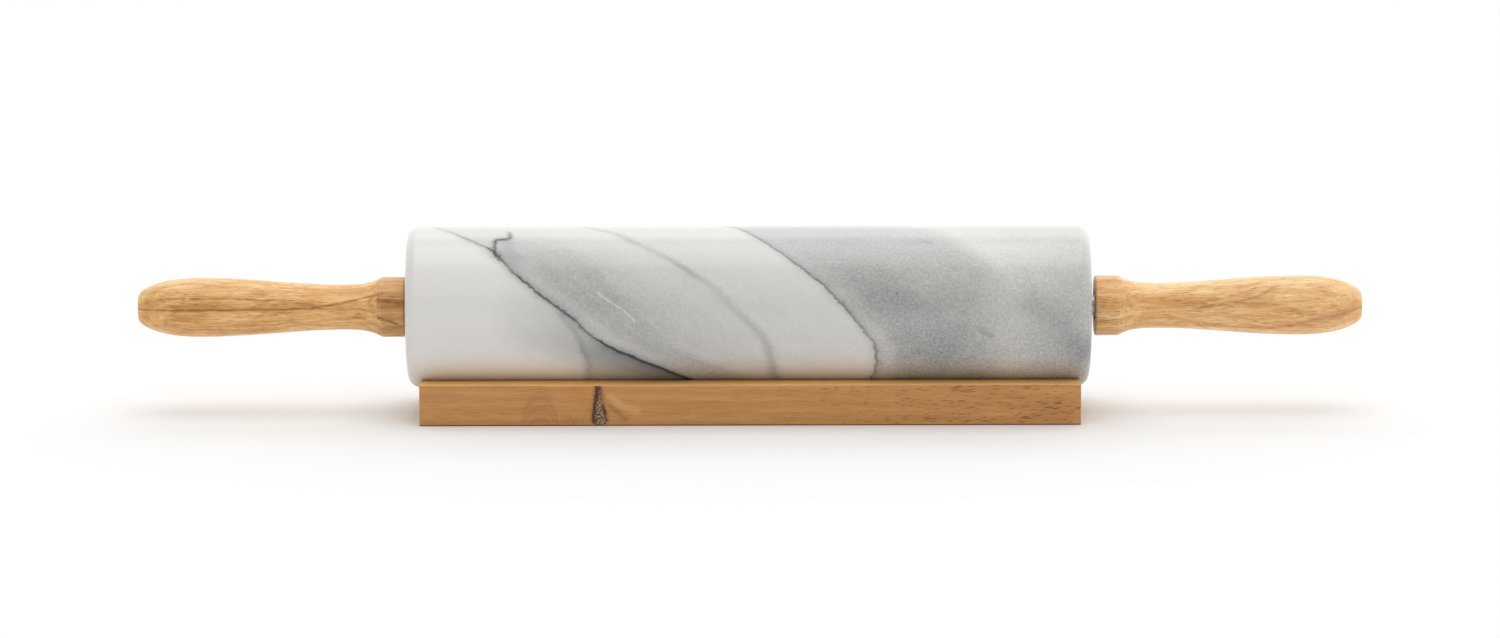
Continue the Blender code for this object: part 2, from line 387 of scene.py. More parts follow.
def left_cloud(g, angle, offset, cloud, grain):
    """Grey beside the left vein: densest 10 to 30 mm to its right, fading near the top."""
    squeeze = g.fade(angle, -5, -38, 1.0, 1.5)
    across = g.curve(g.times(offset, squeeze), LEFT_CLOUD)
    around = g.curve(angle, LEFT_CLOUD_ROUND)
    uneven = g.plus(1.0, g.times(cloud, 0.9), g.times(grain, 0.9))
    return g.times(across, around, uneven)


def right_cloud(g, angle, x, offset, cloud, grain, surface):
    """Grey over the barrel's right side, crossed by a pale band."""
    core = g.times(g.bell(g.minus(offset, 22.0), 13.0), g.bell(g.minus(angle, 22.0), 17.0))
    strip = g.times(g.bell(g.minus(offset, 3.0), 4.5), g.fade(angle, 8, -8, 0.12, 0.4))
    band_offset = g.minus(x, g.curve(angle, PALE_BAND))
    upper = g.fade(angle, 16, 58)
    band = g.times(g.bell(band_offset, 10.0), g.plus(0.38, g.times(upper, 0.5)))
    beyond = g.times(g.fade(band_offset, 2, 14), g.plus(0.16, g.times(upper, 0.42)))
    shape = g.plus(
        1.0,
        g.times(core, 0.22),
        g.times(strip, -1.0),
        g.times(band, -1.0),
        g.times(beyond, -1.0),
        g.times(g.stroke(surface, CLOUD_PATCH, BARREL_ARC, 6.0), 0.36),
        g.times(g.stroke(surface, CLOUD_EDGE, BARREL_ARC, 9.0), 0.14),
        g.times(cloud, 0.6),
        g.times(grain, 1.1),
    )
    return g.times(g.curve(angle, RIGHT_CLOUD_ROUND), shape)


def left_shade(g, angle, along, left, surface):
    """Soft grey on the left of the left vein, deeper low down partly as painted shade, and a
    branch that leaves it.
    """
    # The rise towards the bottom is partly the stone's grey and partly painted shade on the
    # underside
    rise = g.times(g.fade(angle, 36, -44, 0.0, 1.7), g.fade(angle, -105, -60))
    shade = g.times(g.fade(left, 1.0, -0.5), rise, g.curve(left, LEFT_SHADE))
    branch = g.times(g.stroke(surface, BRANCH, BARREL_ARC, 1.5), 0.17)
    between = g.times(
        g.fade(along, -64.5, -57.5), g.fade(left, 1.0, -1.0), g.fade(angle, -8, -26), 0.14
    )
    return g.plus(shade, branch, between)


def marble_grey(g, point, angle, along, left, right, surface, grain):
    """How grey the stone is between its veins, with some painted shade low down on the left."""
    x, y, z = g.split(point)
    drift = g.combine(left, g.times(y, 0.4), g.times(z, 0.4))
    cloud = g.noise(drift, (9, 9, 9), 4.0, 0.6)
    billow = g.noise(point, (15, 11, 11), 4.0, 0.6, offset=(3.0, 0.0, 7.0))
    to_right = g.fade(right, -0.8, 1.6)
    mottle = g.noise(point, (6, 6, 6), 3.0)
    grey = g.plus(
        g.times(left_cloud(g, angle, left, cloud, grain), g.minus(1.0, to_right)),
        g.times(right_cloud(g, angle, x, right, billow, grain, surface), to_right),
        left_shade(g, angle, along, left, surface),
        g.times(mottle, 0.05),
        g.times(grain, 0.13),
        0.01,
    )
    return g.math("MAXIMUM", grey, 0.0)


def marble_veins(g, angle, left, middle, right):
    """How much each of the three veins darkens the stone."""
    depth = g.curve(angle, LEFT_DEPTH)
    width = g.curve(angle, LEFT_WIDTH)
    left_vein = vein(g, left, width, depth, g.times(width, 2.5), g.times(depth, 0.4))
    middle_vein = g.times(g.bell(middle, MIDDLE_WIDTH), g.curve(angle, MIDDLE_DEPTH))
    depth = g.curve(angle, RIGHT_DEPTH)
    right_vein = vein(g, right, RIGHT_WIDTH, depth, 2.2, g.times(depth, 0.3))
    return left_vein, middle_vein, right_vein


def small_marks(g, angle, surface):
    """How much the hook on the left vein, its shade, a streak and a spot darken the stone."""
    hook = g.stroke(surface, HOOK, BARREL_ARC, 0.95)
    return (
        g.times(hook, g.fade(angle, 86, 66), 0.8),
        g.times(g.stroke(surface, HOOK_SHADE, BARREL_ARC, 3.6), 0.24),
        g.times(g.stroke(surface, STREAK, BARREL_ARC, 0.9), 0.16),
        g.times(g.stroke(surface, SPOT, BARREL_ARC, 1.2), 0.16),
    )


def hairlines(g, point, ragged):
    """How much the fine lines round the back of the barrel darken the stone."""
    x, y, z = g.split(point)
    wander = g.plus(x, g.times(g.noise(point, (18, 18, 18), 3.0, 0.55), 9.0), ragged)
    behind = g.times(g.math("ARCTAN2", z, y), 180 / math.pi * BARREL_ARC)
    rear = g.combine(wander, behind, 0.0)
    fine = 0.0
    for corners, depth in HAIRLINES:
        line = g.times(g.bell(g.path(rear, corners), HAIRLINE_WIDTH), depth)
        fine = g.math("MAXIMUM", fine, line)
    return g.times(fine, g.fade(y, 2.0, 12.0))


def marble_material():
    """White marble with three diagonal veins, grey clouds between them, and a honed surface."""
    g = new_material("marble")
    point = g.place()
    x, y, z = g.split(point)
    angle = g.angle_about_axis(y, z)

    # The veins wander a little, in long waves and in small ragged steps
    ragged = g.plus(
        g.times(g.noise(point, (7, 7, 7), 3.0, 0.6), 3.0),
        g.times(g.noise(point, (1.6, 1.6, 1.6), 2.0, 0.6), 2.2),
    )
    along = g.plus(x, ragged)
    surface = g.combine(along, g.times(angle, BARREL_ARC), 0.0)
    grain = g.noise(point, (0.9, 0.9, 0.9), 2.0, 0.75)
    left = g.minus(along, g.curve(angle, VEIN_LEFT))
    middle = g.minus(along, g.curve(angle, VEIN_MIDDLE))
    right = g.minus(along, g.curve(angle, VEIN_RIGHT))

    light = 1.0
    for dark in (
        *marble_veins(g, angle, left, middle, right),
        *small_marks(g, angle, surface),
        hairlines(g, point, ragged),
        marble_grey(g, point, angle, along, left, right, surface, grain),
    ):
        light = g.times(light, g.minus(1.0, dark))
    # A pale crystal-filled crack
    light = g.plus(light, g.times(g.stroke(surface, CRACK, BARREL_ARC, 0.4), 0.27))

    color = g.blend(light, MARBLE_DARK, MARBLE_WHITE)
    roughness = g.plus(0.25, g.times(g.noise(point, (3, 3, 3), 3.0), 0.12))
    height = g.plus(grain, g.times(g.noise(point, (2, 2, 2), 2.0), 1.5))
    return g.finish(color, roughness, g.bump(height, 0.012))


# ---------------------------------------------------------------------------------------
# Wood
# ---------------------------------------------------------------------------------------


def ring_field(g, point, pith, tilt, warp):
    """Distance in millimetres from a slightly tilted pith line that runs along X."""
    x, y, z = g.split(point)
    off_y = g.plus(g.minus(y, pith[0]), g.times(x, tilt[0]))
    off_z = g.plus(g.minus(z, pith[1]), g.times(x, tilt[1]))
    squared = g.plus(g.times(off_y, off_y), g.times(off_z, off_z))
    return g.plus(g.math("SQRT", squared), warp)


def wood_grain(g, point, seed):
    """Four grain layers, which run along X.

    They are broad streaks, middling streaks and fine fibres, each from about -0.5 to 0.5,
    and open pores from 0 to 1.
    """
    broad = g.noise(point, (60, 3.4, 3.4), 2.0, 0.55, offset=(seed, 1.0, 2.0))
    middle = g.noise(point, (17, 1.5, 1.5), 2.0, 0.6, offset=(seed, 7.0, 4.0))
    fibre = g.noise(point, (9, 0.55, 0.55), 2.0, 0.6, offset=(seed, 5.0, 3.0))
    dash = g.cells(point, (6.5, 0.62, 0.62), offset=(seed, 0.0, 0.0))
    crowd = g.noise(point, (24, 5, 5), 2.0, offset=(seed, 9.0, 0.0))
    reach = g.plus(0.2, g.times(crowd, 0.4))
    pore = g.fade(g.minus(dash, reach), 0.09, -0.05)
    return broad, middle, fibre, pore


def late_wood(g, point, pith, tilt, seed, spacing, waves):
    """The growth rings' darker outer edges, from 0 to 1.

    The waves bend the rings: each is the size of its features and its depth in millimetres.
    """
    (long_size, long_depth), (short_size, short_depth) = waves
    warp = g.plus(
        g.times(g.noise(point, long_size, 2.0, offset=(seed, 0.0, 1.0)), long_depth),
        g.times(g.noise(point, short_size, 2.0, offset=(seed, 2.0, 1.0)), short_depth),
    )
    rings = ring_field(g, point, pith, tilt, warp)
    phase = g.math("FRACT", g.math("DIVIDE", rings, spacing))
    return g.times(g.fade(phase, 0.35, 0.93), g.fade(phase, 1.0, 0.94))


HANDLE_ORANGE = (0.74, 0.36, 0.10)
HANDLE_DARK = (0.26, 0.09, 0.02)
HANDLE_RED = (0.42, 0.15, 0.05)
# Millimetres to a degree round the handles
HANDLE_ARC = math.radians(1.0) * 10.0
HANDLE_RING_SPACING = 3.4
HANDLE_WAVES = (((30, 9, 9), 3.0), ((6, 2, 2), 0.5))

# Where the collars end, away from the middle, the tints that darken them, and a painted groove
# shade
COLLAR_START = 136.4
COLLAR_TINT = (0.42, 0.34, 0.22)
COLLAR_TOP_TINT = (0.86, 0.64, 0.42)
GROOVE_SHADE_TINT = (0.45, 0.36, 0.3)

# Streaks: (x, angle) corners, width, strength, colour
LEFT_STREAKS = (
    (((-228.5, 3), (-205, 4.5), (-175, 3.5), (-163, 7)), 0.34, 0.9, HANDLE_DARK),
    (((-163, 7), (-152, 20), (-143, 34), (-137, 35)), 0.6, 0.85, HANDLE_DARK),
    (((-138.5, 24), (-134, 21), (-128, 14)), 0.65, 1.0, HANDLE_DARK),
    (((-138.5, -11), (-131, -25)), 0.5, 0.95, HANDLE_DARK),
    (((-136.5, -30), (-130, -33)), 0.35, 0.6, HANDLE_DARK),
    (((-220, 27), (-200, 27), (-178, 24)), 0.3, 0.75, HANDLE_DARK),
)
RIGHT_STREAKS = (
    (((148, 2), (166.7, 3.3), (174, 9.6)), 0.45, 0.45, HANDLE_RED),
    (((166.7, 3.3), (174, 9.6), (181, 15.4), (189.4, 26.2), (195, 46)), 0.75, 0.6, HANDLE_RED),
    (((163, 13), (176, 24), (186, 36)), 0.6, 0.35, HANDLE_RED),
    (((173, -1), (183, 6), (192, 14)), 0.3, 0.45, HANDLE_RED),
    (((166, -44), (182, -46), (191, -43), (201, -35)), 0.7, 0.5, HANDLE_RED),
    (((201, -35), (208, -22), (221, -10), (228.5, 1)), 1.0, 0.6, HANDLE_RED),
    (((206, -34), (216, -22), (225, -12)), 0.5, 0.45, HANDLE_RED),
)

# Each handle's wood: tan and pale tones, where its pith lies and how it tilts, the grain's
# seed, how much darker the collar is, soft patches, and streaks
HANDLES = {
    "left": {
        "tones": ((0.56, 0.26, 0.072), (1.0, 0.64, 0.27)),
        "pith": (18.0, -9.0),
        "tilt": (0.05, 0.02),
        "seed": 3.0,
        "collar": 0.28,
        "patches": ((((-164, 50), (-146, 52)), 3.2, 0.6, HANDLE_ORANGE),),
        "streaks": LEFT_STREAKS,
    },
    "right": {
        "tones": ((0.70, 0.36, 0.13), (1.0, 0.69, 0.33)),
        "pith": (16.0, -14.0),
        "tilt": (-0.06, 0.03),
        "seed": 17.0,
        "collar": 0.14,
        "patches": (),
        "streaks": RIGHT_STREAKS,
    },
}


def handle_tone(g, point, look, angle, broad, middle, fibre, plain):
    """How pale the wood is, from 0 to 1, with a painted highlight that makes the upper part
    paler.
    """
    late = late_wood(
        g, point, look["pith"], look["tilt"], look["seed"], HANDLE_RING_SPACING, HANDLE_WAVES
    )
    tone = g.plus(
        0.52,
        g.times(broad, 1.2),
        g.times(middle, plain, 1.5),
        g.times(fibre, plain, 1.6),
        g.times(late, -0.22),
        # Painted highlight: paler towards the top, set by the angle about the axis
        g.fade(angle, 22.0, 34.0, -0.08, 0.12),
        g.fade(angle, 48.0, 76.0, 0.0, 0.2),
    )
    return g.limit(tone)


def red_pores(g, point, seed):
    """Short reddish pores in loose crowds, from 0 to 1."""
    dash = g.cells(point, (5.0, 0.5, 0.5), offset=(seed, 3.0, 8.0))
    crowd = g.noise(point, (18, 4, 4), 2.0, offset=(seed, 2.0, 9.0))
    return g.fade(g.minus(dash, g.plus(0.17, g.times(crowd, 0.5))), 0.06, -0.04)


def add_patches(g, color, surface, patches, share=1.0):
    """The colour with lines or soft patches drawn over it, as far as the share says.

    Each has its (x, angle) corners, its width in millimetres, its strength and its colour.
    """
    for corners, width, strength, shade in patches:
        line = g.stroke(surface, corners, HANDLE_ARC, width)
        color = g.blend(g.times(line, share, strength), color, shade)
    return color


def add_collar(g, color, away, angle, depth):
    """The colour with the collar next to the barrel darker, its top darker and more orange, and
    a thin painted shade line in the groove beside it.
    """
    collar = g.fade(away, COLLAR_START + 3.5, COLLAR_START - 0.5)
    color = g.tint(g.times(collar, depth), color, COLLAR_TINT)
    top = g.times(collar, g.fade(angle, 20.0, 50.0))
    color = g.tint(g.times(top, 0.5), color, COLLAR_TOP_TINT)
    # Painted shade: a thin dark line standing in for the shadow in the small groove where the
    # grip meets the collar
    groove_shade = g.bell(g.minus(away, COLLAR_START + 2.2), 0.22)
    return g.tint(g.times(groove_shade, depth), color, GROOVE_SHADE_TINT)


def handle_material(side):
    """Clear-grained turned wood with dark and reddish pores, and its own streaks."""
    look = HANDLES[side]
    seed = look["seed"]
    g = new_material(f"handle_wood_{side}")
    point = g.place()
    x, y, z = g.split(point)
    away = g.math("ABSOLUTE", x)
    angle = g.angle_about_axis(y, z)
    wobble = g.times(g.noise(point, (7, 2, 2), 3.0, offset=(seed, 1.0, 1.0)), 1.1)
    surface = g.combine(x, g.plus(g.times(angle, HANDLE_ARC), wobble), 0.0)
    uneven_angle = g.plus(angle, g.times(wobble, 5.0))

    # The grain shows less where the tip cuts across it
    plain = g.fade(away, 214.0, 226.0, 1.0, 0.35)
    broad, middle, fibre, pore = wood_grain(g, point, seed)
    tone = handle_tone(g, point, look, uneven_angle, broad, middle, fibre, plain)
    color = g.blend(tone, *look["tones"])
    warm = g.noise(point, (26, 5, 5), 2.0, offset=(seed, 4.0, 8.0))
    color = g.blend(g.fade(warm, 0.02, 0.25, 0.0, 0.6), color, HANDLE_ORANGE)
    color = g.blend(g.times(red_pores(g, point, seed), plain, 0.6), color, HANDLE_RED)
    color = g.blend(g.times(pore, plain, 0.5), color, HANDLE_DARK)

    color = add_patches(g, color, surface, look["patches"])
    color = add_collar(g, color, away, uneven_angle, look["collar"])
    broken = g.fade(g.noise(surface, (4, 0.8, 1.0), 2.0, offset=(seed, 0.0, 6.0)), -0.3, 0.1)
    color = add_patches(g, color, surface, look["streaks"], broken)

    height = g.plus(g.times(fibre, 0.6), g.times(pore, -0.8))
    roughness = g.plus(0.34, g.times(fibre, 0.15), g.times(pore, 0.1))
    return g.finish(color, roughness, g.bump(height, 0.05))


CRADLE_PALE = (0.67, 0.35, 0.122)
CRADLE_TAN = (0.47, 0.22, 0.068)
CRADLE_DARK = (0.16, 0.034, 0.009)
CRADLE_RED = (0.30, 0.10, 0.03)
# Painted highlight on the front top edge and painted light on the top: darker and paler tones
# of each
CRADLE_ARRIS_HIGHLIGHT = ((0.80, 0.40, 0.14), (0.98, 0.54, 0.205))
CRADLE_TOP_LIGHT = ((0.84, 0.44, 0.13), (1.0, 0.64, 0.22))
# Painted contact shadow along the foot
CRADLE_FOOT_SHADOW = (0.16, 0.12, 0.09)
CRADLE_SEED = 31.0
CRADLE_RING_SPACING = 3.1
CRADLE_WAVES = (((60, 10, 10), 5.0), ((10, 2, 2), 0.6))

# The knot in the cradle's front face
KNOT_RIM = (0.022, 0.008, 0.010)
KNOT_GLOW = (0.56, 0.22, 0.05)
KNOT_PALE = (0.74, 0.42, 0.17)
KNOT_HEART = ((0.05, 0.03, 0.025), (0.50, 0.42, 0.22))
KNOT_SHAPE = (
    # (height, half width)
    (-1, 0.1), (0.3, 0.6), (0.9, 1.7), (2, 2.3), (4, 2.2), (7, 1.55), (10, 1.05), (13, 0.6),
    (16.5, 0.4),
)


def add_knot(g, color, point, x, y, high):
    """The colour with a drop-shaped knot on the front face, and how far the knot is sunk."""
    in_front = g.fade(y, -22.0, -26.0)
    front = g.combine(x, high, 0.0)
    pale = g.bell(g.path(front, ((-51.5, 11.0), (-47.5, 7.5), (-42.0, 5.5))), 1.3)
    dark = g.bell(g.path(front, ((-52.0, 7.5), (-46.0, 2.5))), 0.9)
    glow = g.bell(g.path(front, ((-64.0, 12.5), (-58.5, 8.0))), 3.4)
    color = g.blend(g.times(glow, in_front, 0.5), color, KNOT_GLOW)
    color = g.blend(g.times(pale, in_front, 0.6), color, KNOT_PALE)
    color = g.blend(g.times(dark, in_front, 0.45), color, CRADLE_RED)

    wobble = g.noise(point, (1.6, 1.6, 1.6), 2.0, 0.6)
    side = g.minus(x, g.minus(-55.7, g.times(high, 0.04)))
    rim = g.minus(g.math("ABSOLUTE", g.plus(side, wobble)), g.curve(high, KNOT_SHAPE))
    stain = g.times(g.fade(rim, 2.2, 0.0), g.fade(high, 4.0, 12.0, 0.35, 0.75))
    color = g.blend(g.times(stain, in_front), color, CRADLE_RED)
    broken = g.fade(g.noise(point, (1.3, 1.3, 1.3), 2.0, offset=(4.0, 4.0, 4.0)), -0.1, 0.1)
    lining = g.math("MAXIMUM", g.fade(side, 0.6, -0.6), broken)
    ring = g.times(g.bell(rim, 0.62), lining, in_front)
    heart = g.times(g.fade(rim, -0.1, -0.8), in_front)
    speck = g.fade(g.noise(point, (0.8, 0.8, 0.8), 2.0), -0.08, 0.14)
    color = g.blend(g.times(heart, 0.92), color, g.blend(speck, *KNOT_HEART))
    color = g.blend(g.times(ring, 0.95), color, KNOT_RIM)
    return color, g.plus(ring, heart)


def cradle_tone(g, point, x, high, broad, middle, fibre):
    """How pale the board is, from 0 to 1, with nested arches left of the knot."""
    late = late_wood(
        g, point, (30.0, -95.0), (0.02, 0.035), CRADLE_SEED, CRADLE_RING_SPACING, CRADLE_WAVES
    )
    tone = g.plus(
        0.52,
        g.times(broad, 0.8),
        g.times(middle, 0.8),
        g.times(fibre, 0.85),
        g.times(late, -0.16),
    )
    beside = g.math("DIVIDE", g.plus(x, 78.0), 6.6)
    squared = g.times(beside, beside)
    level = g.plus(
        high, g.times(squared, 3.0), g.times(squared, squared, 6.0), g.times(fibre, 2.5)
    )
    inside = g.fade(level, 14.5, 12.0)
    arches = g.bell(g.minus(g.math("FRACT", g.times(level, 1 / 4.2)), 0.5), 0.24)
    return g.limit(g.minus(tone, g.times(inside, g.plus(0.14, g.times(arches, 0.26)))))


def add_upright_streaks(g, color, point, x, high):
    """The colour with short upright reddish streaks between the arches and the knot."""
    upright = g.noise(point, (0.7, 0.7, 5.0), 2.0, 0.6, offset=(2.0, 0.0, CRADLE_SEED))
    zone = g.times(g.bell(g.plus(x, 67.5), 7.0), g.fade(high, 7.0, 2.0))
    return g.blend(g.times(g.fade(upright, -0.02, 0.2), zone, 0.55), color, CRADLE_RED)


def add_flecks(g, color, point, x, y, z, middle):
    """The colour with dark flecks that climb and thicken to the right, and the flecks."""
    climb = g.combine(x, y, g.minus(z, g.times(x, 0.12)))
    fleck = g.cells(climb, (5.8, 0.6, 0.6), offset=(7.0, 3.0, 1.0))
    crowd = g.noise(point, (20, 4, 4), 2.0, offset=(5.0, 5.0, 5.0))
    share = g.plus(g.fade(x, -10.0, 75.0, 0.04, 0.22), g.times(crowd, 0.5))
    mark = g.fade(g.minus(fleck, share), 0.05, -0.05)
    ruddy = g.fade(g.plus(crowd, g.times(middle, 0.5)), -0.1, 0.2)
    color = g.blend(g.times(ruddy, g.fade(x, 20.0, 90.0), 0.22), color, CRADLE_RED)
    return g.blend(g.times(mark, 0.72), color, CRADLE_DARK), mark


def add_edge_light_and_shadow(g, color, y, high, tone):
    """The colour with painted light on the top, a painted highlight on the eased top edge, and
    a painted contact shadow at the foot.
    """
    # Painted highlight along the eased top edge of the front face
    color = g.blend(g.fade(high, 14.95, 15.2), color, g.blend(tone, *CRADLE_ARRIS_HIGHLIGHT))
    # Painted light on the top, brightening it under the barrel's overhang
    land = g.times(g.fade(g.math("ABSOLUTE", y), 27.8, 27.0), g.fade(high, 15.1, 15.3))
    color = g.blend(land, color, g.blend(tone, *CRADLE_TOP_LIGHT))
    # Painted contact shadow at the foot
    return g.tint(g.fade(high, 0.6, 0.2), color, CRADLE_FOOT_SHADOW)


def cradle_material():
    """Darker oiled wood: level grain, flecks to the right, an arched figure and a knot."""
    g = new_material("cradle_wood")
    point = g.place()
    x, y, z = g.split(point)
    high = g.plus(z, AXIS_HEIGHT / MM)
    broad, middle, fibre, pore = wood_grain(g, point, CRADLE_SEED)
    tone = cradle_tone(g, point, x, high, broad, middle, fibre)
    color = g.blend(tone, CRADLE_TAN, CRADLE_PALE)
    color = add_upright_streaks(g, color, point, x, high)
    color, mark = add_flecks(g, color, point, x, y, z, middle)
    color = g.blend(g.times(pore, 0.2), color, CRADLE_DARK)
    color, sunk = add_knot(g, color, point, x, y, high)
    color = add_edge_light_and_shadow(g, color, y, high, tone)

    height = g.plus(
        g.times(fibre, 0.6), g.times(mark, -0.7), g.times(pore, -0.6), g.times(sunk, -1.2)
    )
    roughness = g.plus(0.45, g.times(fibre, 0.15), g.times(mark, 0.1))
    return g.finish(color, roughness, g.bump(height, 0.05), specular=0.4)


# ---------------------------------------------------------------------------------------
# Steel and nylon
# ---------------------------------------------------------------------------------------


STEEL_TONES = ((0.46, 0.46, 0.47), (0.62, 0.62, 0.63))
NYLON_TONES = ((0.72, 0.70, 0.64), (0.84, 0.83, 0.78))


def steel_material():
    """Drawn steel, brushed round the axis."""
    g = new_material("steel")
    point = g.place()
    lines = g.noise(point, (0.12, 6, 6), 3.0, 0.6)
    patch = g.noise(point, (5, 5, 5), 3.0)
    color = g.blend(g.fade(patch, -0.3, 0.3), *STEEL_TONES)
    g.shader.inputs["Metallic"].default_value = 1.0
    roughness = g.plus(0.3, g.times(lines, 0.2), g.times(patch, 0.1))
    return g.finish(color, roughness, g.bump(lines, 0.01))


def nylon_material():
    """Milky moulded nylon with a faint fine texture."""
    g = new_material("nylon")
    point = g.place()
    speck = g.noise(point, (0.35, 0.35, 0.35), 2.0)
    cast = g.noise(point, (6, 6, 6), 2.0)
    color = g.blend(g.fade(cast, -0.3, 0.3), *NYLON_TONES)
    roughness = g.plus(0.42, g.times(speck, 0.12))
    return g.finish(color, roughness, g.bump(speck, 0.02))


# ---------------------------------------------------------------------------------------
# Meshes
# ---------------------------------------------------------------------------------------


def link_mesh(name, verts, faces, material):
    """A new object from points and faces, smooth but for its sharp edges."""
    mesh = bpy.data.meshes.new(name)
    mesh.from_pydata(verts, [], faces)
    mesh.validate()
    mesh.shade_smooth()
    mesh.set_sharp_from_angle(angle=SHARP_ANGLE)
    mesh.materials.append(material)
    piece = bpy.data.objects.new(name, mesh)
    bpy.context.scene.collection.objects.link(piece)
    return piece


def turned(name, section, segments, material):
    """Spin a closed section of (x, radius) points about the pin's axis.

    Points on the axis become single points, so the section may start and end there.
    """
    rings = []
    verts = []
    for x, radius in section:
        if radius < TINY:
            rings.append([len(verts)] * segments)
            verts.append((x, 0.0, AXIS_HEIGHT))
            continue
        rings.append(list(range(len(verts), len(verts) + segments)))
        for step in range(segments):
            turn = math.tau * step / segments
            verts.append((x, radius * math.cos(turn), AXIS_HEIGHT + radius * math.sin(turn)))
    closed = section[0][1] > TINY
    following = rings[1:] + rings[:1] if closed else rings[1:]
    faces = []
    for first, second in zip(rings, following):
        for step in range(segments):
            after = (step + 1) % segments
            corners = [first[step], first[after], second[after], second[step]]
            face = list(dict.fromkeys(corners))
            if len(face) > 2:
                faces.append(face)
    return link_mesh(name, verts, faces, material)


def arc(center_x, center_r, radius, start, end, steps):
    """(x, radius) points round an arc, angles in degrees from +X towards the outside."""
    points = []
    for step in range(steps + 1):
        turn = math.radians(start + (end - start) * step / steps)
        points.append((center_x + radius * math.cos(turn), center_r + radius * math.sin(turn)))
    return points


def smooth_line(stations, steps):
    """Points on a smooth curve through the stations, steps of them between neighbours."""
    last = len(stations) - 1
    slopes = []
    for index in range(last + 1):
        before = stations[max(index - 1, 0)]
        after = stations[min(index + 1, last)]
        slopes.append((after[1] - before[1]) / (after[0] - before[0]))
    points = [stations[0]]
    for index in range(last):
        x0, y0 = stations[index]
        x1, y1 = stations[index + 1]
        span = x1 - x0
        for step in range(1, steps + 1):
            t = step / steps
            ease = 3 * t**2 - 2 * t**3
            pull = (t**3 - 2 * t**2 + t) * slopes[index] + (t**3 - t**2) * slopes[index + 1]
            points.append((x0 + span * t, y0 + (y1 - y0) * ease + span * pull))
    return points


def build_barrel(material):
    """Marble barrel with rounded edges, a through bore and a counterbore at each end."""
    low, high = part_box("marble_barrel")
    radius = (high.z - low.z) / 2
    ease = 4.2 * MM
    chamfer = 0.3 * MM
    bore = 6.8 * MM
    counterbore = 9.3 * MM
    depth = 2.5 * MM
    section = [
        *arc(low.x + ease, radius - ease, ease, 180, 90, BARREL_EDGE_STEPS),
        *arc(high.x - ease, radius - ease, ease, 90, 0, BARREL_EDGE_STEPS),
        (high.x, counterbore + chamfer),
        (high.x - chamfer, counterbore),
        (high.x - depth, counterbore),
        (high.x - depth, bore),
        (low.x + depth, bore),
        (low.x + depth, counterbore),
        (low.x + chamfer, counterbore),
        (low.x, counterbore + chamfer),
    ]
    barrel = turned("barrel_marble", section, BARREL_SEGMENTS, material)
    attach(barrel, "barrel")
    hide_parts("marble_barrel")


GRIP_STATIONS = (
    # (distance from the tip, radius), in millimetres
    (0.0, 4.7), (0.5, 5.5), (1.5, 6.45), (3.6, 7.7), (8.0, 9.35), (15.0, 10.65), (24.0, 11.05),
    (38.0, 10.62), (52.0, 9.65), (66.0, 8.7), (78.0, 8.42), (84.0, 8.8), (88.0, 9.75),
    (90.6, 10.95),
)


def build_handle(side, material):
    """Turned handle: flat tip, swelling grip, flared neck and a collar by the barrel."""
    low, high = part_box(f"handle_{side}")
    outward = -1 if side == "left" else 1
    tip = low.x if side == "left" else high.x
    inner = high.x if side == "left" else low.x
    ease = 0.8 * MM
    collar_length = 8.4 * MM
    collar_radius = 11.2 * MM
    bore = 5.3 * MM
    bore_depth = 24.0 * MM
    grip = smooth_line([(a * MM, r * MM) for a, r in GRIP_STATIONS], GRIP_STEPS)
    section = [(tip, 0.0)]
    section += [(tip - outward * away, radius) for away, radius in grip]
    section.append((inner + outward * collar_length, collar_radius))
    for x, radius in arc(ease, collar_radius - ease, ease, 90, 180, COLLAR_EDGE_STEPS):
        section.append((inner + outward * x, radius))
    section += [
        (inner, bore),
        (inner + outward * bore_depth, bore),
        (inner + outward * bore_depth, 0.0),
    ]
    if outward > 0:
        section.reverse()
    handle = turned(f"handle_{side}_wood", section, HANDLE_SEGMENTS, material)
    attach(handle, "rod_and_handles")
    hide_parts(f"handle_{side}")


